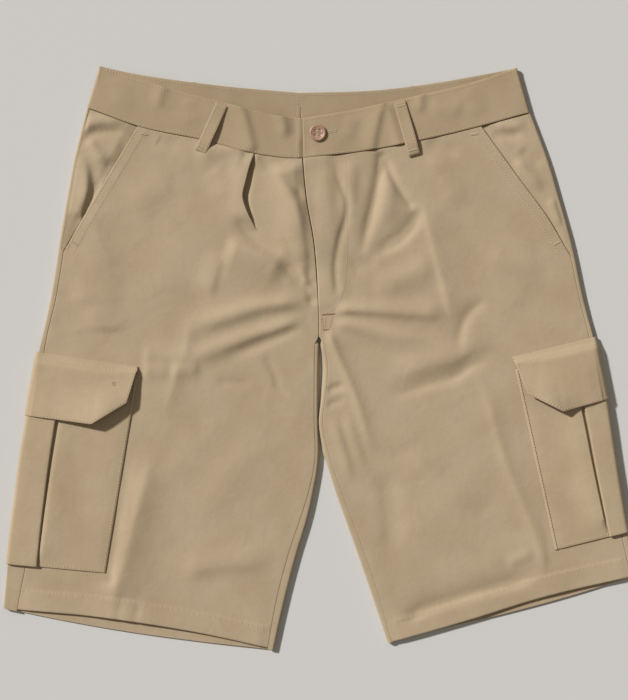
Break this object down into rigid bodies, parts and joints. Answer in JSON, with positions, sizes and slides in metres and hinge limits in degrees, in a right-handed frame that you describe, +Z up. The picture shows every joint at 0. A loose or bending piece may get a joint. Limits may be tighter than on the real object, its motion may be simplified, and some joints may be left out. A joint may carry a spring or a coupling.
{
  "type": "cargo shorts",
  "caption": "Knee-length cotton twill cargo shorts laid flat, with a waistband, belt loops, button fly, pleats, slant pockets and flapped cargo pockets on the side seams.",
  "frame": {"origin": "middle of the bounding box's underside, on the surface that the shorts lie on", "axes": "+Y towards the waistband, +X towards the right as seen from above the front, +Z up from the surface, out of the front"},
  "size_m": [0.653, 0.602, 0.0152],
  "materials": {
    "body_twill": "washed cotton twill, matt",
    "waistband_twill": "washed cotton twill, matt",
    "pocket_twill": "washed cotton twill, matt",
    "button_resin": "polyester resin, satin"
  },
  "bodies": {
    "root": {"front_panel_l": "body_twill", "front_panel_r": "body_twill", "back_panel_l": "body_twill", "back_panel_r": "body_twill", "hip_facing_l": "body_twill", "hip_facing_r": "body_twill", "fly_shield": "body_twill", "waistband_l": "waistband_twill", "waistband_r": "waistband_twill", "belt_loop_front_l": "waistband_twill", "belt_loop_front_r": "waistband_twill", "belt_loop_back_l": "waistband_twill", "belt_loop_back_r": "waistband_twill", "belt_loop_back_centre": "waistband_twill", "cargo_pocket_l": "pocket_twill", "cargo_pocket_r": "pocket_twill", "cargo_flap_l": "pocket_twill", "cargo_flap_r": "pocket_twill", "button": "button_resin"}
  },
  "joints": []
}
